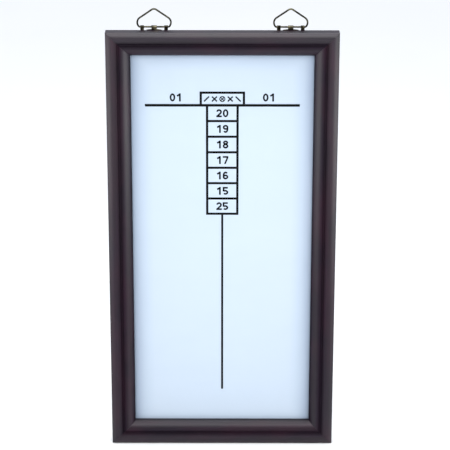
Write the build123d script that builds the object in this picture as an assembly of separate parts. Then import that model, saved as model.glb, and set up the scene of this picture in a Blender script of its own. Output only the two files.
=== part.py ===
from build123d import *
import math
import os

# A framed dry erase scoreboard for darts: a white writing panel with a printed score chart, set in a mitred
# and stained wood moulding, and hung by two wire rings on stamped plates behind the top rail.
# Millimetres. X runs to the right and Z up, seen from the front, which faces -Y. The origin lies on the plane
# of the frame's back, in the middle of the bottom rail's back face, the face that rests against a wall.

# Frame moulding. Widths run from the outer edge inwards, and drops from the crest at the front backwards.
frame_width = 304.8
frame_height = 584.2
moulding_width = 32.2
moulding_depth = 18.0
bead_width = 8.0          # outer edge to the crest of the outer bead
bead_drop = 4.5           # crest to where the outer side starts to round over
bead_fall = 0.9           # crest to the bead's inner edge
groove_start = 14.6       # outer edge to the bead's inner edge
groove_end = 18.2         # outer edge to where the inner roll starts
groove_drop = 2.7
groove_ease = 0.5
roll_drop = 1.4
lip_drop = 10.5           # crest to the edge of the lip round the writing face
lip_radius = 0.9
back_ease = 0.6
corner_ease = 1.0

# Rabbet behind the lip, and the panel in it.
rabbet_lap = 5.5
face_drop = 14.4          # crest to the writing face
film_thickness = 0.3
core_thickness = 2.2
panel_clearance = 0.8

# Pressed steel V nails, two across each mitre from the back.
v_nail_leg = 5.0
v_nail_depth = 7.0
v_nail_thickness = 0.5
v_nail_inset = 9.0        # outer edges to the first nail's point
v_nail_pitch = 8.0        # along each rail, from the first nail to the second

# Flat steel points, half driven into the rabbet wall, which hold the panel from behind.
point_length = 14.0
point_width = 6.0
point_thickness = 0.5
point_nose = 2.0
points_per_rail = 2
points_per_stile = 3

# Printed chart. Heights and widths are between the middles of its lines.
ink_thickness = 0.1
cross_line_drop = 68.3    # upper edge of the writing face to the cross line
cross_line_length = 204.2
cross_line_width = 3.5
header_width = 56.8
header_height = 17.2
header_line_width = 3.1
column_width = 40.3
column_line_width = 3.1
row_pitch = 21.52
divider_width = 3.1
centre_line_width = 2.8
centre_line_margin = 45.1  # foot of the centre line to the lower edge of the writing face
ink_end_radius = 0.7
row_labels = ["20", "19", "18", "17", "16", "15", "25"]

# Printed numbers and marks.
digit_width = 7.4
digit_height = 10.9
digit_stroke = 2.3
digit_gap = 1.2
upper_ring_share = 0.52   # of the digit's height, as on the 8
lower_ring_share = 0.62   # of the digit's height, as on the 5, 6, 8 and 9
two_start_angle = 172.0
two_turn_angle = -214.0
five_start_angle = 215.0
five_turn_angle = 285.0
six_start_angle = 42.0
six_turn_angle = 158.0
player_label = "01"
player_offset = 61.3      # middle of the chart to the middle of each player's number
player_rise = 10.7        # cross line to the middle of each player's number
tally_size = 8.0
tally_stroke = 1.9
tally_pitch = 10.4
tally_ring_stroke = 1.3

# Hangers: a stamped strap plate with rolled knuckles, a bent wire ring and two wood screws each.
hanger_inset = 63.5       # frame's side to the middle of the hanger, which sets them 7 in apart
bar_rise = 3.7            # top of the frame to the middle of the ring's bar
plate_width = 36.0
plate_height = 24.0
plate_thickness = 0.85
plate_corner = 4.0
plate_shoulder = 1.0      # top of the frame down to the foot of the windows between the knuckles
knuckle_width = 4.8
centre_knuckle_width = 7.0
hump_half_width = 10.2
hump_rise = 1.2           # top of the frame to the top of the arched hump between the knuckles
hump_shoulder_rise = 0.2
curl_end_angle = -110.0

# Ring, drawn on the middle of its wire from the middle of its bar.
wire_radius = 1.15
wire_clearance = 0.05
wire_gap = 0.6            # between the two ends of the wire, inside the centre knuckle
ring_bar_half = 19.66
ring_bar_bend = 2.5
ring_side_half = 24.8
ring_side_rise = 7.97
ring_side_bend = 7.8
ring_apex_rise = 24.75
ring_apex_bend = 5.0

# Countersunk wood screws.
screw_spacing = 18.0
screw_drop = 11.2         # top of the frame to the screws
screw_length = 12.0
screw_radius = 1.4
screw_head_radius = 2.8
screw_head_dome = 0.5
screw_tip_length = 2.6
drive_length = 3.2
drive_width = 0.8
drive_depth = 1.1

# How far a cutting shape runs past the wood.
overrun = 2.0

# Places that follow from the sizes above.
back_width = moulding_width - rabbet_lap
rabbet_depth = moulding_depth - face_drop
frame_middle = (frame_height - back_width) / 2
frame_top = frame_middle + frame_height / 2
face_height = frame_height - 2 * moulding_width
rabbet_width = frame_width - 2 * back_width
rabbet_height = frame_height - 2 * back_width
panel_back = rabbet_depth - film_thickness - core_thickness
bore_radius = wire_radius + wire_clearance
curl_radius = bore_radius + plate_thickness
cross_line_place = face_height / 2 - cross_line_drop


def front_plane(height):
    """A drawing plane seen from the front, height in front of the frame's back, centred on the frame."""
    return Plane(origin=(0, -height, frame_middle), x_dir=(1, 0, 0), z_dir=(0, -1, 0))


def round_corner(outline, x, y, radius):
    """Rounds the corner of a flat outline that lies nearest to a point."""
    return fillet(outline.vertices().sort_by_distance((x, y, 0))[0], radius)


def moulding_section():
    """The moulding's cut end, back at zero: outer bead, narrow groove, inner roll, lip and rabbet."""
    side = moulding_depth - bead_drop
    bead_edge = moulding_depth - bead_fall
    floor = moulding_depth - groove_drop
    roll = moulding_depth - roll_drop
    lip = moulding_depth - lip_drop
    edges = Curve() + [
        Line((0, 0), (back_width, 0)),
        Line((back_width, 0), (back_width, rabbet_depth)),
        Line((back_width, rabbet_depth), (moulding_width, rabbet_depth)),
        Line((moulding_width, rabbet_depth), (moulding_width, lip)),
        TangentArc((groove_end, roll), (moulding_width, lip), tangent=(1, 0)),
        ThreePointArc((groove_end, roll), ((groove_start + groove_end) / 2, floor), (groove_start, bead_edge)),
        TangentArc((bead_width, moulding_depth), (groove_start, bead_edge), tangent=(1, 0)),
        EllipticalCenterArc((bead_width, side), bead_width, bead_drop, start_angle=90, arc_size=90),
        Line((0, side), (0, 0)),
    ]
    section = make_face(edges)
    section = round_corner(section, 0, 0, back_ease)
    section = round_corner(section, groove_start, bead_edge, groove_ease)
    section = round_corner(section, groove_end, roll, groove_ease)
    return round_corner(section, moulding_width, lip, lip_radius)


def frame_member(length, half_span):
    """One length of moulding along X, its outer edge up and half_span above the middle, both ends mitred."""
    along = Plane(origin=(0, 0, half_span), x_dir=(0, 0, -1), z_dir=(-1, 0, 0))
    blank = extrude(along * moulding_section(), length / 2 + overrun, both=True)
    inner_half = length / 2 - moulding_width
    inner_span = half_span - moulding_width
    mitred = Polygon(
        (-inner_half, inner_span),
        (inner_half, inner_span),
        (length / 2, half_span),
        (-length / 2, half_span),
    )
    eased = mitred & RectangleRounded(length, 2 * half_span, corner_ease)
    return blank & extrude(Plane.XZ.offset(-overrun) * eased, moulding_depth + 2 * overrun)


def v_nails():
    """Two V nails at each corner, their points on the mitre and their legs running into the two members."""
    angle = Rectangle(v_nail_leg, v_nail_thickness, align=(Align.MIN, Align.CENTER))
    angle += Rectangle(v_nail_thickness, v_nail_leg, align=(Align.CENTER, Align.MIN))
    angle += Rectangle(v_nail_thickness, v_nail_thickness)
    nails = []
    for side, level, turn in ((-1, -1, 0), (1, -1, 90), (1, 1, 180), (-1, 1, 270)):
        for inset in (v_nail_inset, v_nail_inset + v_nail_pitch):
            corner = Pos(side * (frame_width / 2 - inset), level * (frame_height / 2 - inset))
            nails.append(extrude(front_plane(0) * corner * Rot(0, 0, turn) * angle, v_nail_depth))
    return nails


def retaining_point():
    """One flat point, lying on the panel's back, its nose driven upwards past the rabbet wall at zero."""
    half = point_length / 2
    return Polygon(
        (-point_width / 2, -half),
        (point_width / 2, -half),
        (point_width / 2, half - point_nose),
        (0, half),
        (-point_width / 2, half - point_nose),
    )


def retaining_points():
    """The points spread evenly along the four walls of the rabbet."""
    points = []
    sides = [
        (rabbet_width, rabbet_height / 2, points_per_rail, 0),
        (rabbet_height, rabbet_width / 2, points_per_stile, 90),
        (rabbet_width, rabbet_height / 2, points_per_rail, 180),
        (rabbet_height, rabbet_width / 2, points_per_stile, 270),
    ]
    for length, wall, count, turn in sides:
        for index in range(count):
            along = length * ((index + 0.5) / count - 0.5)
            placed = front_plane(panel_back) * Rot(0, 0, turn) * Pos(along, wall) * retaining_point()
            points.append(extrude(placed, -point_thickness))
    return points


def printed(outline):
    """A printed layer on the front of the writing face."""
    return extrude(front_plane(rabbet_depth) * outline, ink_thickness)


def chart_lines():
    """The chart's lines as one outline: cross line, header box, number column with its rows, centre line."""
    lower = cross_line_place - len(row_labels) * row_pitch
    foot = -face_height / 2 + centre_line_margin
    lines = Pos(0, cross_line_place) * RectangleRounded(cross_line_length, cross_line_width, ink_end_radius)
    header = Rectangle(header_width + header_line_width, header_height + header_line_width)
    header -= Rectangle(header_width - header_line_width, header_height - header_line_width)
    lines += Pos(0, cross_line_place + header_height / 2) * header
    column_height = cross_line_place - lower
    for side in (-1, 1):
        line = Rectangle(column_line_width, column_height)
        lines += Pos(side * column_width / 2, (cross_line_place + lower) / 2) * line
    for row in range(1, len(row_labels) + 1):
        divider = Rectangle(column_width + column_line_width, divider_width)
        lines += Pos(0, cross_line_place - row * row_pitch) * divider
    centre_line = RectangleRounded(centre_line_width, lower - foot, ink_end_radius)
    centre_line += Pos(0, (lower - foot) / 4) * Rectangle(centre_line_width, (lower - foot) / 2)
    return lines + Pos(0, (lower + foot) / 2) * centre_line


def bar(left, low, right, high):
    """An upright or level stroke between two corners."""
    return Pos((left + right) / 2, (low + high) / 2) * Rectangle(right - left, high - low)


def ring_stroke(half_width, half_height):
    """A closed oval stroke, given the half sizes of the line along its middle."""
    half_stroke = digit_stroke / 2
    outer = Ellipse(half_width + half_stroke, half_height + half_stroke)
    return outer - Ellipse(half_width - half_stroke, half_height - half_stroke)


def digit(character):
    """A plain bold numeral, centred, drawn with strokes of one width."""
    half_width = digit_width / 2
    half_height = digit_height / 2
    reach = (digit_width - digit_stroke) / 2
    rise = (digit_height - digit_stroke) / 2
    upper_rise = (digit_height * upper_ring_share - digit_stroke) / 2
    lower_rise = (digit_height * lower_ring_share - digit_stroke) / 2
    cell = Rectangle(digit_width, digit_height)

    if character == "0":
        return ring_stroke(reach, rise)

    if character == "1":
        stem = bar(0, -half_height, digit_stroke, half_height)
        flag = trace(Line((-reach, rise - digit_stroke), (digit_stroke / 2, rise)), digit_stroke)
        return (stem + flag) & cell

    if character == "2":
        bowl = CenterArc((0, rise - reach), reach, two_start_angle, two_turn_angle)
        neck = Line(bowl @ 1, (-reach, -rise))
        foot = bar(-half_width, -half_height, half_width, digit_stroke - half_height)
        return (trace(bowl, digit_stroke) + trace(neck, digit_stroke) + foot) & cell

    if character == "5":
        bowl = EllipticalCenterArc(
            (0, lower_rise - rise), reach, lower_rise, start_angle=five_start_angle, arc_size=five_turn_angle
        )
        stem = bar(-half_width, -digit_height / 12, digit_stroke - half_width, half_height)
        brow = bar(-half_width, half_height - digit_stroke, half_width - digit_stroke / 4, half_height)
        return trace(bowl, digit_stroke) + stem + brow

    if character in "69":
        back = EllipticalCenterArc((0, 0), reach, rise, start_angle=six_start_angle, arc_size=six_turn_angle)
        six = trace(back, digit_stroke) + Pos(0, lower_rise - rise) * ring_stroke(reach, lower_rise)
        return six if character == "6" else Rot(0, 0, 180) * six

    if character == "7":
        brow = bar(-half_width, half_height - digit_stroke, half_width, half_height)
        leg = Polygon(
            (-reach / 3 - digit_stroke / 2, -half_height),
            (-reach / 3 + digit_stroke / 2, -half_height),
            (half_width, half_height - digit_stroke),
            (reach - digit_stroke / 2, half_height - digit_stroke),
        )
        return brow + leg

    upper = Pos(0, rise - upper_rise) * ring_stroke(reach - digit_stroke / 8, upper_rise)
    return upper + Pos(0, lower_rise - rise) * ring_stroke(reach, lower_rise)


def numeral(label, x, z):
    """The digits of a two-figure label side by side about a place on the writing face."""
    step = (digit_width + digit_gap) / 2
    return [Pos(x - step, z) * digit(label[0]), Pos(x + step, z) * digit(label[1])]


def chart_numbers():
    """The numbers down the column and one above the cross line on each player's side."""
    outlines = []
    for row, label in enumerate(row_labels):
        outlines += numeral(label, 0, cross_line_place - (row + 0.5) * row_pitch)
    for side in (-1, 1):
        outlines += numeral(player_label, side * player_offset, cross_line_place + player_rise)
    return outlines


def tally_marks():
    """Plain tally marks across the header box: slash, cross, ringed cross, cross and slash."""
    half = (tally_size - tally_stroke / math.sqrt(2)) / 2
    slash = trace(Line((-half, -half), (half, half)), tally_stroke)
    cross = slash + trace(Line((-half, half), (half, -half)), tally_stroke)
    ring = Circle(tally_size / 2) - Circle(tally_size / 2 - tally_ring_stroke)
    small_half = tally_size / 2 - tally_ring_stroke / 2
    reach = small_half / math.sqrt(2)
    inner = trace(Line((-reach, -reach), (reach, reach)), tally_ring_stroke)
    inner += trace(Line((-reach, reach), (reach, -reach)), tally_ring_stroke)
    marks = [slash, cross, ring + inner, cross, Rot(0, 0, 90) * slash]
    place = cross_line_place + header_height / 2
    return [Pos((index - 2) * tally_pitch, place) * mark for index, mark in enumerate(marks)]


def screw():
    """A countersunk wood screw along Y, its head's rim on the plate's back and its tip in the rail."""
    head_depth = screw_head_radius - screw_radius
    half_profile = make_face(
        Curve() + [
            TangentArc((0, screw_head_dome), (screw_head_radius, 0), tangent=(1, 0)),
            Line((screw_head_radius, 0), (screw_radius, -head_depth)),
            Line((screw_radius, -head_depth), (screw_radius, screw_tip_length - screw_length)),
            Line((screw_radius, screw_tip_length - screw_length), (0, -screw_length)),
            Line((0, -screw_length), (0, screw_head_dome)),
        ]
    )
    return revolve(half_profile, Axis.Y)


def drive_recess():
    """The cross recess in a screw's head."""
    cross = Rectangle(drive_length, drive_width) + Rectangle(drive_width, drive_length)
    top = Plane(origin=(0, screw_head_dome, 0), x_dir=(1, 0, 0), z_dir=(0, -1, 0))
    return extrude(top * cross, drive_depth)


def knuckle(width):
    """A knuckle rolled from the strap round the ring's bar, centred on X, with the bar's middle at Z zero."""
    side = Plane(origin=(-width / 2, 0, 0), x_dir=(0, 1, 0), z_dir=(1, 0, 0))
    span = 180 - curl_end_angle
    outer = CenterArc((curl_radius, 0), curl_radius, 180, -span)
    inner = CenterArc((curl_radius, 0), bore_radius, 180, -span)
    curl = make_face(Curve() + [outer, inner, Line(outer @ 0, inner @ 0), Line(outer @ 1, inner @ 1)])
    strap_length = bar_rise + plate_shoulder
    strap = Rectangle(plate_thickness, strap_length, align=(Align.MIN, Align.MAX))
    return extrude(side * (curl + strap), width)


def hanger_plate():
    """The strap plate, from its rounded foot to the hump and knuckles that stand above the frame."""
    body_height = plate_height - plate_shoulder
    body = Pos(0, -plate_shoulder) * Rectangle(plate_width, body_height, align=(Align.CENTER, Align.MAX))
    for side in (-1, 1):
        body = round_corner(body, side * plate_width / 2, -plate_height, plate_corner)
    hump_face = make_face(
        Curve() + [
            Line((-hump_half_width, hump_shoulder_rise), (-hump_half_width, -plate_shoulder)),
            Line((-hump_half_width, -plate_shoulder), (hump_half_width, -plate_shoulder)),
            Line((hump_half_width, -plate_shoulder), (hump_half_width, hump_shoulder_rise)),
            ThreePointArc(
                (hump_half_width, hump_shoulder_rise),
                (0, hump_rise),
                (-hump_half_width, hump_shoulder_rise),
            ),
        ]
    )
    flat = Plane(origin=(0, plate_thickness, frame_top), x_dir=(1, 0, 0), z_dir=(0, -1, 0))
    plate = extrude(flat * (body + hump_face), plate_thickness)
    outer_place = (plate_width - knuckle_width) / 2
    bar_place = frame_top + bar_rise
    for x, width in ((-outer_place, knuckle_width), (0, centre_knuckle_width), (outer_place, knuckle_width)):
        plate += Pos(x, 0, bar_place) * knuckle(width)
    return plate


def hanger_ring():
    """The wire ring, upright, its two ends meeting with a small gap inside the centre knuckle."""
    path = FilletPolyline(
        (wire_gap / 2, 0, 0),
        (ring_bar_half, 0, 0),
        (ring_side_half, 0, ring_side_rise),
        (0, 0, ring_apex_rise),
        (-ring_side_half, 0, ring_side_rise),
        (-ring_bar_half, 0, 0),
        (-wire_gap / 2, 0, 0),
        radius=[ring_bar_bend, ring_side_bend, ring_apex_bend, ring_side_bend, ring_bar_bend],
    )
    end = Plane(origin=path @ 0, z_dir=path % 0)
    wire = sweep(end * Circle(wire_radius), path)
    return Pos(0, curl_radius, frame_top + bar_rise) * wire


def screw_places():
    """Where a hanger's two screws sit in its plate."""
    height = frame_top - screw_drop
    return [Pos(side * screw_spacing / 2, plate_thickness, height) for side in (-1, 1)]


os.makedirs("parts", exist_ok=True)
parts = {}

# Panel: the film faces the front, on the core, both clear of the rabbet's walls.
panel_outline = Rectangle(rabbet_width - 2 * panel_clearance, rabbet_height - 2 * panel_clearance)
film_back = front_plane(rabbet_depth - film_thickness)
parts["dry_erase_face"] = [extrude(film_back * panel_outline, film_thickness)]
parts["panel_core"] = [extrude(front_plane(panel_back) * panel_outline, core_thickness)]

# Print.
parts["score_grid"] = [printed(chart_lines())]
parts["score_numbers"] = [printed(outline) for outline in chart_numbers()]
parts["header_tally_marks"] = [printed(outline) for outline in tally_marks()]

# Hangers, the same on both sides.
screw_cutters = []
for name, side in (("left", -1), ("right", 1)):
    shift = Pos(side * (frame_width / 2 - hanger_inset), 0, 0)
    cutters = [shift * place * screw() for place in screw_places()]
    screw_cutters += cutters
    parts[name + "_hanger_plate"] = [shift * hanger_plate() - cutters]
    parts[name + "_hanger_ring"] = [shift * hanger_ring()]
    parts[name + "_hanger_screws"] = [shift * place * (screw() - drive_recess()) for place in screw_places()]

# Steel fastenings in the wood.
parts["corner_v_nails"] = v_nails()
parts["retaining_points"] = retaining_points()

# Frame, with the places of its fastenings cut out of it.
fastenings = parts["corner_v_nails"] + parts["retaining_points"] + screw_cutters
middle = Pos(0, 0, frame_middle)
members = {
    "frame_top_rail": frame_member(frame_width, frame_height / 2),
    "frame_bottom_rail": Rot(0, 180, 0) * frame_member(frame_width, frame_height / 2),
    "frame_left_stile": Rot(0, -90, 0) * frame_member(frame_height, frame_width / 2),
    "frame_right_stile": Rot(0, 90, 0) * frame_member(frame_height, frame_width / 2),
}
for name, member in members.items():
    parts[name] = [middle * member - fastenings]

for name, pieces in parts.items():
    solids = [solid for piece in pieces for solid in piece.solids()]
    export_step(Compound(children=solids), "parts/" + name + ".step")
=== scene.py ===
import bmesh
import bpy
import math
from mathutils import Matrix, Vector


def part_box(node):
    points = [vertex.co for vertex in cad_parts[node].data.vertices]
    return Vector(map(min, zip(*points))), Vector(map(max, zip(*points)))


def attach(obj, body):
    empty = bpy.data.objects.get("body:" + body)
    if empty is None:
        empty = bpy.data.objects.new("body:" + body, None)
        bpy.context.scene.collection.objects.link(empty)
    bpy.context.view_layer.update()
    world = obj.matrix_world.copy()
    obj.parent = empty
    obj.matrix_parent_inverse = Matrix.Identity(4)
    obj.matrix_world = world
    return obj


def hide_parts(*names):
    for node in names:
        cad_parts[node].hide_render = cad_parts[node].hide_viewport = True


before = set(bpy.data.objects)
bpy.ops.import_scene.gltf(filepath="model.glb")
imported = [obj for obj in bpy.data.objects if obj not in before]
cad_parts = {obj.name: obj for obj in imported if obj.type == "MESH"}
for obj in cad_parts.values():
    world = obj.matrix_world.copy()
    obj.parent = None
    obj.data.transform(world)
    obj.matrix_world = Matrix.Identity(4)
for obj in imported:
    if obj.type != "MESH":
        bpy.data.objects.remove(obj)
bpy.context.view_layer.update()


# Camera. The photograph looks down on the upright board from straight in front of it, through a long lens.
# Its tilt, distance and lens come from the board's own edges in the photograph.
camera_tilt = math.radians(19.02)
camera_roll = math.radians(0.081)
camera_aim = (0.00372, -0.018, 0.30866)
camera_distance = 2.6071
lens_millimetres = 156.05
sensor_millimetres = 36
farthest_view = 50.0

bpy.ops.object.select_all(action="DESELECT")
bpy.ops.object.camera_add(
    location=(
        camera_aim[0],
        camera_aim[1] - camera_distance * math.cos(camera_tilt),
        camera_aim[2] + camera_distance * math.sin(camera_tilt),
    )
)
camera = bpy.context.object
camera.name = "camera"
camera.rotation_mode = "ZYX"
camera.rotation_euler = (math.pi / 2 - camera_tilt, 0, camera_roll)
camera.data.sensor_width = sensor_millimetres
camera.data.lens = lens_millimetres
camera.data.clip_end = farthest_view
bpy.context.scene.camera = camera


# Floor. A wide white studio sweep of matt paper, which the board stands on.
# It is lit almost to white, with the faint mottle that paper fibres give it.
mm = 0.001
floor_size = 24000 * mm
floor_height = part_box("frame_bottom_rail")[0].z
paper_mottle_size = 333 * mm


def linear(hex_colour):
    """The linear colour, with full alpha, of an sRGB hex colour."""
    shares = [int(hex_colour[i:i + 2], 16) / 255 for i in (1, 3, 5)]
    return [c / 12.92 if c <= 0.04045 else ((c + 0.055) / 1.055) ** 2.4 for c in shares] + [1.0]


def add_node(material, kind, settings=None, inputs=None, stops=()):
    """Adds a node with its settings, inputs and ramp stops. An input is a value or another node's output."""
    node = material.node_tree.nodes.new(kind)
    for key, value in (settings or {}).items():
        setattr(node, key, value)
    for key, value in (inputs or {}).items():
        if isinstance(value, bpy.types.NodeSocket):
            material.node_tree.links.new(value, node.inputs[key])
        else:
            node.inputs[key].default_value = value
    for _ in stops[2:]:
        node.color_ramp.elements.new(1.0)
    for index, (position, colour) in enumerate(stops):
        node.color_ramp.elements[index].position = position
        node.color_ramp.elements[index].color = colour
    return node


def link(material, output, socket):
    """Joins an output to a socket."""
    material.node_tree.links.new(output, socket)


def new_finish(name, **constants):
    """A new material and its surface shader, with the constants that hold all over it."""
    material = bpy.data.materials.new(name)
    material.use_nodes = True
    shader = material.node_tree.nodes["Principled BSDF"]
    for key, value in constants.items():
        shader.inputs[key.replace("_", " ")].default_value = value
    return material, shader


def give(piece, material):
    """Makes a material the piece's only one."""
    piece.data.materials.clear()
    piece.data.materials.append(material)


paper, paper_shader = new_finish("matt_studio_paper", Roughness=0.9)
paper_place = add_node(paper, "ShaderNodeTexCoord").outputs["Object"]
paper_mottle = add_node(
    paper, "ShaderNodeTexNoise", inputs={"Vector": paper_place, "Scale": 1 / paper_mottle_size, "Detail": 2.0}
)
paper_colour = add_node(
    paper, "ShaderNodeMix", {"data_type": "RGBA"},
    {0: paper_mottle.outputs["Fac"], 6: linear("#F0F0EF"), 7: linear("#F3F3F2")},
)
link(paper, paper_colour.outputs[2], paper_shader.inputs["Base Color"])

bpy.ops.mesh.primitive_plane_add(size=floor_size, location=(0, 0, floor_height))
floor = bpy.context.object
floor.name = "floor"
bpy.ops.object.transform_apply(location=True)
give(floor, paper)


# Light. A very wide soft lamp hangs above and in front. One softbox hangs in front of the board, higher than
# it, another lies flat over it, and four low strips stand on the floor round it, below the camera's view.
# The room is bright overhead and behind the board, and dim low in front.
brightest_way = (0.0, 0.22, 0.975)
lamp_elevation = math.radians(72)
lamp_spread = math.radians(60)

world = bpy.data.worlds.new("pale_room")
bpy.context.scene.world = world
world.use_nodes = True
room_light = world.node_tree.nodes["Background"]
room_light.inputs["Color"].default_value = linear("#EEF4FF")
room_direction = add_node(world, "ShaderNodeTexCoord")
room_side = add_node(
    world, "ShaderNodeVectorMath", {"operation": "DOT_PRODUCT"},
    {0: room_direction.outputs["Generated"], 1: brightest_way},
)
room_strength = add_node(
    world, "ShaderNodeMapRange",
    inputs={
        "Value": room_side.outputs["Value"], "From Min": -0.05, "From Max": 1.0,
        "To Min": 0.12, "To Max": 1.15,
    },
)
link(world, room_strength.outputs["Result"], room_light.inputs["Strength"])
# The camera itself sees plain white behind the floor's far edge.
backdrop = add_node(world, "ShaderNodeBackground", inputs={"Color": linear("#FAFBFD")})
seen_directly = add_node(world, "ShaderNodeLightPath")
room_or_backdrop = add_node(
    world, "ShaderNodeMixShader",
    inputs={
        0: seen_directly.outputs["Is Camera Ray"],
        1: room_light.outputs["Background"],
        2: backdrop.outputs["Background"],
    },
)
link(world, room_or_backdrop.outputs["Shader"], world.node_tree.nodes["World Output"].inputs["Surface"])

bpy.ops.object.light_add(type="SUN", location=(0, -1, 3), rotation=(math.pi / 2 - lamp_elevation, 0, 0))
wide_lamp = bpy.context.object
wide_lamp.name = "wide_lamp"
wide_lamp.data.energy = 1.0
wide_lamp.data.angle = lamp_spread

# Each panel's name, place, width and height, power, and lean from upright in degrees.
light_panels = (
    ("overhead_softbox", (0.0, -1.10, 1.32), (1.0, 1.0), 16.0, 4),
    ("top_softbox", (0.0, 0.05, 2.00), (1.2, 0.8), 12.0, 90),
    ("right_front_strip", (0.95, -0.85, 0.10), (0.9, 0.18), 5.4, 0),
    ("left_front_strip", (-0.95, -0.85, 0.10), (0.9, 0.18), 4.2, 0),
    ("right_side_strip", (1.10, -0.20, 0.15), (0.8, 0.26), 1.5, 0),
    ("left_side_strip", (-1.10, -0.20, 0.15), (0.8, 0.26), 1.2, 0),
)
for name, place, size, power, lean in light_panels:
    bpy.ops.object.light_add(type="AREA", location=place)
    panel = bpy.context.object
    panel.name = name
    panel.data.shape = "RECTANGLE"
    panel.data.size = size[0]
    panel.data.size_y = size[1]
    panel.data.energy = power
    panel.rotation_euler = (math.radians(90 - lean), 0, math.atan2(place[0], -place[1]))
    panel.visible_camera = False
bpy.context.scene.view_settings.view_transform = "Standard"


# Frame. Four lengths of solid wood moulding, milled to one section, mitred and glued, then stained dark
# mahogany and wiped with satin lacquer. The grain runs along each length.
# Widths run in from the outer edge, and drops from the crest at the front towards the back.
frame_width = 304.8 * mm
frame_height = 584.2 * mm
moulding_width = 32.2 * mm
moulding_depth = 18.0 * mm
back_width = 26.7 * mm                  # what the rabbet leaves of the back
back_ease = 0.6 * mm
shoulder_radius = 3.0 * mm              # where the outer side rounds over into the bead
bead_width = 8.0 * mm                   # outer edge to the bead's crest
bead_drop = 4.5 * mm                    # crest to where the outer side starts to round over
bead_fall = 0.9 * mm                    # crest to the bead's inner edge
groove_start = 14.6 * mm
groove_end = 18.2 * mm
groove_drop = 2.7 * mm
groove_ease = 0.4 * mm
roll_drop = 1.4 * mm                    # crest to the top of the inner roll
lip_drop = 10.5 * mm                    # crest to the edge of the lip round the writing face
lip_radius = 0.9 * mm
rabbet_depth = 3.6 * mm
corner_ease = 1.0 * mm
corner_cuts = 3                         # flat cuts that round each corner
mitre_play = 0.07 * mm                  # each mitre's share of the hairline that the joint shows
slot_play = 0.05 * mm                   # how far a slot or hole stands off what is in it
pick_distance = 0.01 * mm               # within which an edge lies at a place
merge_distance = 0.02 * mm              # between the doubles that the milling leaves
weld_distance = 0.002 * mm              # between the corners of a CAD node's loose triangles
flat_angle = math.radians(0.5)          # up to which two of its faces make one flat side
overrun = 2 * mm
frame_middle = (frame_height - back_width) / 2
frame_top = frame_middle + frame_height / 2


def level_arc_radius(run, fall):
    """The radius of an arc that starts level and falls so far over a run."""
    return (run ** 2 + fall ** 2) / (2 * fall)


def joined_arcs_place(small_centre, large_centre, small_radius):
    """The place where a small arc runs smoothly into a large one that goes round it."""
    apart = math.dist(small_centre, large_centre)
    return tuple(
        small + (small - large) * small_radius / apart for small, large in zip(small_centre, large_centre)
    )


# The moulding's section, as arcs that meet smoothly but at the groove's two edges. A place is its distance in
# from the outer edge and its height above the back.
shoulder_start = (0.0, moulding_depth - bead_drop)
shoulder_centre = (shoulder_radius, moulding_depth - bead_drop)
crown_radius = ((bead_width - shoulder_radius) ** 2 + bead_drop ** 2 - shoulder_radius ** 2) / (
    2 * (bead_drop - shoulder_radius)
)
crown_centre = (bead_width, moulding_depth - crown_radius)
shoulder_end = joined_arcs_place(shoulder_centre, crown_centre, shoulder_radius)
crest = (bead_width, moulding_depth)
bead_side_centre = (bead_width, moulding_depth - level_arc_radius(groove_start - bead_width, bead_fall))
groove_near = (groove_start, moulding_depth - bead_fall)
groove_far = (groove_end, moulding_depth - roll_drop)

# The groove's arc passes through its two edges and its floor, half way between them.
groove_half = (groove_end - groove_start) / 2
near_rise = groove_drop - bead_fall
far_rise = groove_drop - roll_drop
centre_rise = (2 * groove_half ** 2 + near_rise ** 2 + far_rise ** 2) / (2 * (near_rise + far_rise))
centre_shift = (2 * centre_rise * near_rise - near_rise ** 2 - groove_half ** 2) / (2 * groove_half)
groove_centre = (groove_start + groove_half + centre_shift, moulding_depth - groove_drop + centre_rise)

roll_radius = level_arc_radius(moulding_width - groove_end, lip_drop - roll_drop)
roll_centre = (groove_end, moulding_depth - roll_drop - roll_radius)
lip_inset = moulding_width - lip_radius
lip_rise = math.sqrt((roll_radius - lip_radius) ** 2 - (lip_inset - groove_end) ** 2)
lip_centre = (lip_inset, roll_centre[1] + lip_rise)
lip_start = joined_arcs_place(lip_centre, roll_centre, lip_radius)

# The walk round the section: each step's arc centre, or None where it is straight, its end, and its facets.
section_walk = (
    (shoulder_centre, shoulder_end, 8),
    (crown_centre, crest, 8),
    (bead_side_centre, groove_near, 4),
    (groove_centre, groove_far, 10),
    (roll_centre, lip_start, 16),
    (lip_centre, (moulding_width, lip_centre[1]), 4),
    (None, (moulding_width, rabbet_depth), 1),
    (None, (back_width, rabbet_depth), 1),
    (None, (back_width, 0.0), 1),
    (None, (back_ease, 0.0), 1),
    ((back_ease, back_ease), (0.0, back_ease), 3),
)


def pick_edges(piece, test):
    """In edit mode, selects only the edges that pass a test."""
    bpy.ops.mesh.select_mode(type="EDGE")
    bpy.ops.mesh.select_all(action="DESELECT")
    shape = bmesh.from_edit_mesh(piece.data)
    for edge in shape.edges:
        if test(edge):
            edge.select_set(True)
    bmesh.update_edit_mesh(piece.data)


def at_place(edge, axis, value):
    """Whether all of an edge lies at one value of an axis."""
    return all(abs(vertex.co[axis] - value) < pick_distance for vertex in edge.verts)


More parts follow.
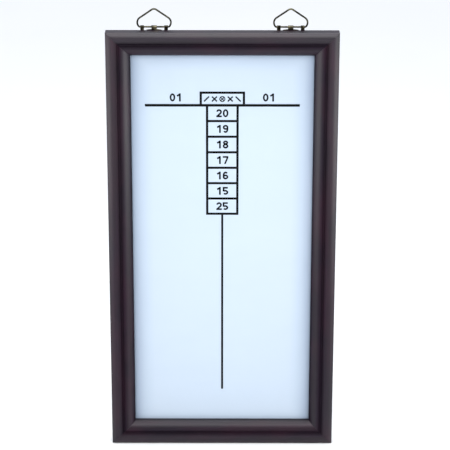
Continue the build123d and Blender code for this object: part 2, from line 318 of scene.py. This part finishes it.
def mill_moulding(name, length, half_span, turn):
    """One mitred length, its outer edge half_span from the frame's middle, turned about it by degrees."""
    bpy.ops.object.select_all(action="DESELECT")
    bpy.ops.mesh.primitive_plane_add(size=1, location=(0, -(back_ease + shoulder_start[1]) / 2, half_span))
    piece = bpy.context.object
    piece.name = name
    piece.scale = (length + 2 * overrun, shoulder_start[1] - back_ease, 1)
    bpy.ops.object.transform_apply(location=True, scale=True)
    bpy.ops.object.mode_set(mode="EDIT")
    pick_edges(piece, lambda edge: at_place(edge, 1, -shoulder_start[1]))
    here = shoulder_start
    for centre, end, facets in section_walk:
        if centre:
            angle_here = math.atan2(here[1] - centre[1], here[0] - centre[0])
            angle_end = math.atan2(end[1] - centre[1], end[0] - centre[0])
            bpy.ops.mesh.spin(
                steps=facets,
                angle=math.remainder(angle_here - angle_end, math.tau),
                center=(0, -centre[1], half_span - centre[0]),
                axis=(-1, 0, 0),
            )
        else:
            step = (0, here[1] - end[1], here[0] - end[0])
            bpy.ops.mesh.extrude_region_move(TRANSFORM_OT_translate={"value": step})
        here = end
    bpy.ops.mesh.select_all(action="SELECT")
    bpy.ops.mesh.remove_doubles(threshold=merge_distance)
    for edge_in, edge_height in (groove_near, groove_far):
        pick_edges(
            piece,
            lambda edge: at_place(edge, 1, -edge_height) and at_place(edge, 2, half_span - edge_in),
        )
        bpy.ops.mesh.bevel(offset=groove_ease, offset_type="OFFSET", segments=3, affect="EDGES")

    # The mitres are sawn, and the outer corners sanded round after glueing.
    for side in (-1, 1):
        bpy.ops.mesh.select_all(action="SELECT")
        bpy.ops.mesh.bisect(
            plane_co=(side * (length / 2 - mitre_play), 0, half_span),
            plane_no=(side, 0, -1),
            use_fill=True,
            clear_outer=True,
        )
        for cut in range(corner_cuts):
            lean = math.radians(45 * (cut + 0.5) / corner_cuts)
            out = (side * math.sin(lean), 0, math.cos(lean))
            place = (
                side * (length / 2 - corner_ease) + out[0] * corner_ease,
                0,
                half_span - corner_ease + out[2] * corner_ease,
            )
            bpy.ops.mesh.select_all(action="SELECT")
            bpy.ops.mesh.bisect(plane_co=place, plane_no=out, use_fill=True, clear_outer=True)
    bpy.ops.mesh.select_all(action="SELECT")
    bpy.ops.mesh.normals_make_consistent(inside=False)
    bpy.ops.object.mode_set(mode="OBJECT")
    piece.rotation_euler = (0, math.radians(turn), 0)
    piece.location = (0, 0, frame_middle)
    bpy.ops.object.transform_apply(location=True, rotation=True)
    return piece


def merged_copy(node, name):
    """A copy of a CAD node as one clean shell, its flat sides whole again."""
    bpy.ops.object.select_all(action="DESELECT")
    copy = bpy.data.objects.new(name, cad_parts[node].data.copy())
    bpy.context.scene.collection.objects.link(copy)
    bpy.context.view_layer.objects.active = copy
    copy.select_set(True)
    bpy.ops.mesh.customdata_custom_splitnormals_clear()
    bpy.ops.object.mode_set(mode="EDIT")
    bpy.ops.mesh.select_all(action="SELECT")
    bpy.ops.mesh.remove_doubles(threshold=weld_distance)
    bpy.ops.mesh.dissolve_limited(angle_limit=flat_angle)
    bpy.ops.object.mode_set(mode="OBJECT")
    return copy


# Stained wood under satin lacquer: dark red brown streaks, with soft broad lights on the crests, and almost
# black in the groove. Each pattern has its width across the grain, length along it, detail and roughness.
grain_patterns = (
    (4 * mm, 167 * mm, 4.0, 0.6),       # streaks that the growth rings leave
    (25 * mm, 62.5 * mm, 2.0, 0.5),     # patches where the stain has taken unevenly
    (0.5 * mm, 6.25 * mm, 1.0, 0.5),    # open pores, drawn coarser than the real ones
)
front_from = -5 * mm                    # between these depths the moulding's front begins
front_to = -7 * mm
# Painted shade in the groove and under the lip, partly stain that stays thicker there: its tint at shares of
# the moulding's width.
stain_and_shade_tints = (
    (0.0, "#FFFFFF"), (0.34, "#FFFFFF"), (0.46, "#D2C6D0"), (0.56, "#D2C6D0"),
    (0.66, "#FFFFFF"), (0.94, "#FFFFFF"), (1.0, "#A09AA8"),
)
# The lacquer's amount at shares of the moulding's width, from the outer edge in to the lip: little in the
# groove, partly real and partly painted shade on the groove's gloss.
lacquer_amounts = (
    (0.0, 1.0), (0.08, 0.96), (0.2, 0.83), (0.28, 0.83), (0.37, 0.65), (0.43, 0.34),
    (0.475, 0.13), (0.575, 0.13), (0.64, 0.4), (0.75, 0.83), (0.9, 0.83),
)
lip_share = 0.98                        # the lip, where rails and stiles have their own amount: less on the stiles, as painted shade
# Painted sheen: the share of it at heights above the origin, more where the light falls brightest: on the
# stiles, and on the rails.
stile_lacquer_sheen = (
    (0 * mm, 0.74), (70 * mm, 0.62), (190 * mm, 0.55), (300 * mm, 0.68), (440 * mm, 0.96), (600 * mm, 1.0),
)
rail_lacquer_sheen = (
    (0 * mm, 0.78), (20 * mm, 0.78), (500 * mm, 0.6), (551 * mm, 0.6), (558 * mm, 1.0), (600 * mm, 1.0),
)
lacquer_reach = 600 * mm
back_lacquer = 0.5


def grey_stops(amounts, reach=1.0):
    """A ramp's stops, in greys, for amounts at places up to a reach."""
    return [(place / reach, (amount, amount, amount, 1.0)) for place, amount in amounts]


def gap_from(material, level, place):
    """How far a level lies from a place, either way."""
    gap = add_node(material, "ShaderNodeMath", {"operation": "SUBTRACT"}, {0: level, 1: place})
    return add_node(material, "ShaderNodeMath", {"operation": "ABSOLUTE"}, {0: gap.outputs[0]}).outputs[0]


def stain_wood(name, along, half_span, middle, lacquer_sheen, on_lip):
    """Lacquered wood, its grain along X (0) or Z (2), its outer edges half_span from a middle."""
    wood, shader = new_finish(
        name, Roughness=0.8, IOR=1.5, Specular_IOR_Level=0.06, Coat_Roughness=0.42, Coat_IOR=1.5,
    )
    place = add_node(wood, "ShaderNodeTexCoord").outputs["Object"]
    patterns = []
    for width, length, detail, roughness in grain_patterns:
        scale = [1 / width, 1 / width, 1 / width]
        scale[along] = 1 / length
        stretched = add_node(wood, "ShaderNodeMapping", inputs={"Vector": place, "Scale": scale})
        pattern = add_node(
            wood, "ShaderNodeTexNoise",
            inputs={
                "Vector": stretched.outputs["Vector"], "Scale": 1.0, "Detail": detail, "Roughness": roughness,
            },
        )
        patterns.append(pattern.outputs["Fac"])
    streaks, patches, pores = patterns
    stain = add_node(
        wood, "ShaderNodeValToRGB", inputs={"Fac": streaks},
        stops=((0.3, linear("#190816")), (0.72, linear("#271324"))),
    )
    redness = add_node(
        wood, "ShaderNodeValToRGB", inputs={"Fac": patches},
        stops=((0.4, linear("#B4BCD0")), (0.68, linear("#FFE0E8"))),
    )
    tone = add_node(
        wood, "ShaderNodeMix", {"data_type": "RGBA", "blend_type": "MULTIPLY"},
        {0: 1.0, 6: stain.outputs["Color"], 7: redness.outputs["Color"]},
    )

    # The share of the moulding's width that a place lies in from the outer edge.
    place_split = add_node(wood, "ShaderNodeSeparateXYZ", inputs={"Vector": place}).outputs
    off_middle = gap_from(wood, place_split["X" if along == 2 else "Z"], middle)
    inset = add_node(wood, "ShaderNodeMath", {"operation": "SUBTRACT"}, {0: half_span, 1: off_middle})
    share = add_node(
        wood, "ShaderNodeMath", {"operation": "DIVIDE"}, {0: inset.outputs[0], 1: moulding_width}
    )
    front = add_node(
        wood, "ShaderNodeMapRange",
        inputs={"Value": place_split["Y"], "From Min": front_from, "From Max": front_to},
    )
    # Painted shade, partly pooled stain: darker in the groove and at the lip.
    stain_and_shade = add_node(
        wood, "ShaderNodeValToRGB", inputs={"Fac": share.outputs[0]},
        stops=[(position, linear(tint)) for position, tint in stain_and_shade_tints],
    )
    stain_and_shade_tone = add_node(
        wood, "ShaderNodeMix", {"data_type": "RGBA", "blend_type": "MULTIPLY"},
        {0: front.outputs["Result"], 6: tone.outputs[2], 7: stain_and_shade.outputs["Color"]},
    )
    link(wood, stain_and_shade_tone.outputs[2], shader.inputs["Base Color"])

    # The lacquer is full on the crests and hardly any in the groove, partly as painted shade on its gloss,
    # and the back has little of it.
    height_share = add_node(
        wood, "ShaderNodeMath", {"operation": "DIVIDE"}, {0: place_split["Z"], 1: lacquer_reach}
    )
    across = add_node(
        wood, "ShaderNodeValToRGB", inputs={"Fac": share.outputs[0]},
        stops=grey_stops(lacquer_amounts + ((lip_share, on_lip),)),
    )
    # Painted sheen: more lacquer by height where the light falls brightest.
    by_height = add_node(
        wood, "ShaderNodeValToRGB", inputs={"Fac": height_share.outputs[0]},
        stops=grey_stops(lacquer_sheen, lacquer_reach),
    )
    lacquer_shade_and_sheen = add_node(
        wood, "ShaderNodeMath", {"operation": "MULTIPLY"},
        {0: across.outputs["Color"], 1: by_height.outputs["Color"]},
    )
    lacquer = add_node(
        wood, "ShaderNodeMix", {"data_type": "FLOAT"},
        {0: front.outputs["Result"], 2: back_lacquer, 3: lacquer_shade_and_sheen.outputs[0]},
    )
    link(wood, lacquer.outputs[0], shader.inputs["Coat Weight"])
    relief = add_node(
        wood, "ShaderNodeBump", inputs={"Height": pores, "Strength": 0.12, "Distance": 0.2 * mm}
    )
    link(wood, relief.outputs["Normal"], shader.inputs["Normal"])
    link(wood, relief.outputs["Normal"], shader.inputs["Coat Normal"])
    return wood


rail_wood = stain_wood(
    "lacquered_mahogany_stained_rail", 0, frame_height / 2, frame_middle, rail_lacquer_sheen, 1.0
)
stile_wood = stain_wood(
    "lacquered_mahogany_stained_stile", 2, frame_width / 2, 0.0, stile_lacquer_sheen, 0.3
)

# What cuts the slots that the nails and points press into the wood, and the screws' holes.
cutters = []
for node in ("corner_v_nails", "retaining_points", "left_hanger_screws", "right_hanger_screws"):
    cutter = merged_copy(node, "cutter_" + node)
    bpy.ops.object.mode_set(mode="EDIT")
    bpy.ops.mesh.select_all(action="SELECT")
    bpy.ops.transform.shrink_fatten(value=slot_play)
    bpy.ops.object.mode_set(mode="OBJECT")
    cutters.append(cutter)

# Each member's piece, CAD node, length, outer edge from the middle, turn in degrees, and wood.
members = (
    ("top_rail_moulding", "frame_top_rail", frame_width, frame_height / 2, 0, rail_wood),
    ("bottom_rail_moulding", "frame_bottom_rail", frame_width, frame_height / 2, 180, rail_wood),
    ("left_stile_moulding", "frame_left_stile", frame_height, frame_width / 2, -90, stile_wood),
    ("right_stile_moulding", "frame_right_stile", frame_height, frame_width / 2, 90, stile_wood),
)
for name, node, length, half_span, turn, wood in members:
    member = mill_moulding(name, length, half_span, turn)
    for cutter in cutters:
        pocket = member.modifiers.new("pockets", "BOOLEAN")
        pocket.operation = "DIFFERENCE"
        pocket.solver = "EXACT"
        pocket.object = cutter
        bpy.ops.object.modifier_apply(modifier=pocket.name)
    bpy.ops.object.shade_smooth_by_angle(angle=math.radians(32))
    give(member, wood)
    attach(member, "board")
    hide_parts(node)
for cutter in cutters:
    bpy.data.objects.remove(cutter)


# Writing film. A thin sheet of glossy white dry erase film, laminated to the panel.
# Its gloss is even, but for the faint smears that a dry eraser leaves.
smear_width = 111 * mm
smear_height = 33.3 * mm
frame_shade_reach = 28 * mm                    # how far the painted shade near the frame greys the film, in from the frame
frame_shade_corner = 8 * mm                    # how softly it turns the corners
frame_shade_drop = 5 * mm                      # the painted shade lies this much lower than the film's middle
frame_shade_margin = 11 * mm                   # and this much thinner at its two ends

film, film_shader = new_finish("glossy_dry_erase_film", Roughness=0.16, IOR=1.5, Specular_IOR_Level=0.38)
film_place = add_node(film, "ShaderNodeTexCoord").outputs["Object"]
smear_place = add_node(
    film, "ShaderNodeMapping",
    inputs={"Vector": film_place, "Scale": (1 / smear_width, 1.0, 1 / smear_height)},
)
smears = add_node(
    film, "ShaderNodeTexNoise", inputs={"Vector": smear_place.outputs["Vector"], "Scale": 1.0, "Detail": 3.0}
)
film_colour = add_node(
    film, "ShaderNodeMix", {"data_type": "RGBA"},
    {0: smears.outputs["Fac"], 6: linear("#AFBCCA"), 7: linear("#B2BFCD")},
)
film_split = add_node(film, "ShaderNodeSeparateXYZ", inputs={"Vector": film_place}).outputs
# The part of the film without painted shade, across and up: its axis, middle and half span.
unshaded_spans = (
    ("X", 0.0, frame_width / 2 - moulding_width),
    ("Z", frame_middle - frame_shade_drop, frame_height / 2 - moulding_width + frame_shade_margin),
)
insets = []
for axis, middle, half_span in unshaded_spans:
    off_middle = gap_from(film, film_split[axis], middle)
    inset = add_node(film, "ShaderNodeMath", {"operation": "SUBTRACT"}, {0: half_span, 1: off_middle})
    insets.append(inset.outputs[0])
# Painted shade: the film's colour greys towards the frame, where the frame's shade falls on it.
from_frame = add_node(
    film, "ShaderNodeMath", {"operation": "SMOOTH_MIN"}, {0: insets[0], 1: insets[1], 2: frame_shade_corner}
)
frame_shade_share = add_node(
    film, "ShaderNodeMath", {"operation": "DIVIDE"}, {0: from_frame.outputs[0], 1: frame_shade_reach}
)
frame_shade = add_node(
    film, "ShaderNodeValToRGB", inputs={"Fac": frame_shade_share.outputs[0]},
    stops=(
        (0.0, linear("#CDD1D9")), (0.2, linear("#DFE2E9")), (0.45, linear("#F0F2F5")),
        (0.75, linear("#FAFBFC")), (1.0, linear("#FFFFFF")),
    ),
)
frame_shaded = add_node(
    film, "ShaderNodeMix", {"data_type": "RGBA", "blend_type": "MULTIPLY"},
    {0: 1.0, 6: film_colour.outputs[2], 7: frame_shade.outputs["Color"]},
)
link(film, frame_shaded.outputs[2], film_shader.inputs["Base Color"])


def eased_copy(node, name, material, ease):
    """A finished copy of a CAD node of the board, its sharp edges eased, which stands for the node."""
    piece = merged_copy(node, name)
    rounding = piece.modifiers.new("eased_edges", "BEVEL")
    rounding.width = ease
    rounding.segments = 2
    rounding.limit_method = "ANGLE"
    rounding.angle_limit = math.radians(35)
    rounding.harden_normals = False
    bpy.ops.object.modifier_apply(modifier=rounding.name)
    bpy.ops.object.shade_smooth_by_angle(angle=math.radians(30))
    give(piece, material)
    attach(piece, "board")
    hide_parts(node)


eased_copy("dry_erase_face", "writing_film", film, 0.05 * mm)


# Panel core. A sheet of pressed brown hardboard behind the film, held in the frame's rabbet by steel points.
# Its rough side faces back: it keeps the print of the press's wire screen, and its fibres lie every way.
fibres_per_mm = 0.7                     # drawn coarser than the real ones
board_cloud_size = 18.2 * mm
screen_pitch = 2.5 * mm                 # between the screen's wires, both ways
wave_length = math.pi / 10              # of a wave texture at scale 1

hardboard, hardboard_shader = new_finish(
    "pressed_brown_hardboard", Roughness=0.8, IOR=1.45, Specular_IOR_Level=0.25
)
board_place = add_node(hardboard, "ShaderNodeTexCoord").outputs["Object"]
fibres = add_node(
    hardboard, "ShaderNodeTexNoise",
    inputs={"Vector": board_place, "Scale": fibres_per_mm / mm, "Detail": 6.0, "Roughness": 0.75},
)
clouds = add_node(
    hardboard, "ShaderNodeTexNoise",
    inputs={"Vector": board_place, "Scale": 1 / board_cloud_size, "Detail": 5.0, "Roughness": 0.65},
)
board_mottle = add_node(
    hardboard, "ShaderNodeMix", {"data_type": "FLOAT"},
    {0: 0.3, 2: fibres.outputs["Fac"], 3: clouds.outputs["Fac"]},
)
board_colour = add_node(
    hardboard, "ShaderNodeValToRGB", inputs={"Fac": board_mottle.outputs[0]},
    stops=((0.34, linear("#5E402A")), (0.68, linear("#82603F"))),
)
link(hardboard, board_colour.outputs["Color"], hardboard_shader.inputs["Base Color"])
screen_prints = []
for direction in ("X", "Z"):
    wires = add_node(
        hardboard, "ShaderNodeTexWave", {"bands_direction": direction, "wave_profile": "SIN"},
        {
            "Vector": board_place, "Scale": wave_length / screen_pitch,
            "Distortion": 0.6, "Detail": 1.0, "Detail Scale": 1.0,
        },
    )
    screen_prints.append(wires.outputs["Fac"])
screen_print = add_node(
    hardboard, "ShaderNodeMath", {"operation": "MULTIPLY"}, {0: screen_prints[0], 1: screen_prints[1]}
)
board_height = add_node(
    hardboard, "ShaderNodeMath", {"operation": "MULTIPLY_ADD"},
    {0: fibres.outputs["Fac"], 1: 0.5, 2: screen_print.outputs[0]},
)
board_relief = add_node(
    hardboard, "ShaderNodeBump",
    inputs={"Height": board_height.outputs[0], "Strength": 0.5, "Distance": 0.3 * mm},
)
link(hardboard, board_relief.outputs["Normal"], hardboard_shader.inputs["Normal"])
eased_copy("panel_core", "hardboard_panel", hardboard, 0.25 * mm)


# Print. The chart's lines, numbers and marks, screen-printed on the film in black enamel ink.
# The ink lies a little uneven and is less glossy than the film.
ink_cover_size = 2.5 * mm

ink, ink_shader = new_finish("screen_printed_black_ink", Roughness=0.6, IOR=1.45, Specular_IOR_Level=0.12)
ink_place = add_node(ink, "ShaderNodeTexCoord").outputs["Object"]
ink_cover = add_node(
    ink, "ShaderNodeTexNoise", inputs={"Vector": ink_place, "Scale": 1 / ink_cover_size, "Detail": 2.0}
)
ink_colour = add_node(
    ink, "ShaderNodeMix", {"data_type": "RGBA"},
    {0: ink_cover.outputs["Fac"], 6: linear("#020203"), 7: linear("#060608")},
)
link(ink, ink_colour.outputs[2], ink_shader.inputs["Base Color"])
for name in ("score_grid", "score_numbers", "header_tally_marks"):
    give(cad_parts[name], ink)


# Corner nails and retaining points. Pressed strip steel with bright zinc plate, driven into the wood from the
# back. The plate is slightly clouded, in colour and in gloss.
zinc_cloud_size = 2 * mm

zinc, zinc_shader = new_finish("zinc_plated_steel", Metallic=1.0)
zinc_place = add_node(zinc, "ShaderNodeTexCoord").outputs["Object"]
zinc_cloud = add_node(
    zinc, "ShaderNodeTexNoise", inputs={"Vector": zinc_place, "Scale": 1 / zinc_cloud_size, "Detail": 3.0}
)
zinc_colour = add_node(
    zinc, "ShaderNodeMix", {"data_type": "RGBA"},
    {0: zinc_cloud.outputs["Fac"], 6: linear("#9A9CA0"), 7: linear("#C4C6CA")},
)
link(zinc, zinc_colour.outputs[2], zinc_shader.inputs["Base Color"])
zinc_gloss = add_node(
    zinc, "ShaderNodeMapRange", inputs={"Value": zinc_cloud.outputs["Fac"], "To Min": 0.25, "To Max": 0.45}
)
link(zinc, zinc_gloss.outputs["Result"], zinc_shader.inputs["Roughness"])
eased_copy("corner_v_nails", "pressed_v_nails", zinc, 0.06 * mm)
eased_copy("retaining_points", "flat_glazing_points", zinc, 0.08 * mm)


# Hangers. Strap plates stamped and rolled from steel, bent wire rings and countersunk wood screws, all brass
# plated and then darkened in a bath. The wire stays olive, and the straps go almost black but for pale smears
# where the bath has been rubbed off, and a pale mark on top at the middle, partly wear and partly painted
# highlight.
hanger_inset = 63.5 * mm                # frame's side to the middle of the hanger
hanger_middle = frame_width / 2 - hanger_inset
wear_and_highlight_core = 3 * mm                      # half the width that is palest, from wear and painted highlight, at the hanger's middle
wear_and_highlight_reach = 7 * mm                     # and half the width that is pale at all
wear_and_highlight_edge = 0.8 * mm
plating_grain = 0.625 * mm


def darkened_brass(name, dark, pale, from_share, to_share, patch_size, worn_and_lit, worn_and_lit_above):
    """Brass plate darkened in a bath, pale in patches of a size, and pale at the middle above a height,
    partly wear and partly painted highlight.
    """
    brass, shader = new_finish(name, Metallic=1.0)
    place = add_node(brass, "ShaderNodeTexCoord").outputs["Object"]
    patches = add_node(
        brass, "ShaderNodeTexNoise",
        inputs={"Vector": place, "Scale": 1 / patch_size, "Detail": 2.0, "Roughness": 0.5},
    )
    # The middle of a hanger is paler down to a height: partly wear by hands and by the nail or hook, partly a
    # painted highlight on its top.
    place_split = add_node(brass, "ShaderNodeSeparateXYZ", inputs={"Vector": place}).outputs
    off_hanger = gap_from(brass, gap_from(brass, place_split["X"], 0.0), hanger_middle)
    in_middle = add_node(
        brass, "ShaderNodeMapRange",
        inputs={
            "Value": off_hanger, "From Min": wear_and_highlight_core, "From Max": wear_and_highlight_reach, "To Min": worn_and_lit, "To Max": 0.0,
        },
    )
    above = add_node(
        brass, "ShaderNodeMapRange",
        inputs={"Value": place_split["Z"], "From Min": worn_and_lit_above, "From Max": worn_and_lit_above + wear_and_highlight_edge},
    )
    wear_and_highlight = add_node(
        brass, "ShaderNodeMath", {"operation": "MULTIPLY"},
        {0: in_middle.outputs["Result"], 1: above.outputs["Result"]},
    )
    paleness = add_node(
        brass, "ShaderNodeMath", {"operation": "ADD"}, {0: patches.outputs["Fac"], 1: wear_and_highlight.outputs[0]}
    )
    colour = add_node(
        brass, "ShaderNodeValToRGB", inputs={"Fac": paleness.outputs[0]},
        stops=((from_share, linear(dark)), (to_share, linear(pale))),
    )
    link(brass, colour.outputs["Color"], shader.inputs["Base Color"])
    # What is rubbed pale, or painted pale as a highlight, is also smoother.
    gloss = add_node(
        brass, "ShaderNodeMapRange",
        inputs={
            "Value": paleness.outputs[0], "From Min": from_share, "From Max": to_share,
            "To Min": 0.46, "To Max": 0.26,
        },
    )
    link(brass, gloss.outputs["Result"], shader.inputs["Roughness"])
    grain = add_node(
        brass, "ShaderNodeTexNoise", inputs={"Vector": place, "Scale": 1 / plating_grain, "Detail": 2.0}
    )
    relief = add_node(
        brass, "ShaderNodeBump",
        inputs={"Height": grain.outputs["Fac"], "Strength": 0.15, "Distance": 0.1 * mm},
    )
    link(brass, relief.outputs["Normal"], shader.inputs["Normal"])
    return brass


strap_brass = darkened_brass(
    "bath_blackened_brass_strap", "#17150F", "#78725C", 0.46, 0.90, 8 * mm, 0.16, frame_top + 1.2 * mm
)
wire_brass = darkened_brass(
    "bath_darkened_brass_wire", "#26241A", "#5E5B47", 0.42, 0.74, 6 * mm, 0.18, frame_top + 22 * mm
)
screw_brass = darkened_brass(
    "bath_darkened_screw", "#6A6046", "#A89C72", 0.36, 0.68, 3 * mm, 0.0, frame_top
)
for side in ("left", "right"):
    eased_copy(side + "_hanger_plate", side + "_strap_plate", strap_brass, 0.14 * mm)
    eased_copy(side + "_hanger_screws", side + "_wood_screws", screw_brass, 0.08 * mm)
    give(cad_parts[side + "_hanger_ring"], wire_brass)
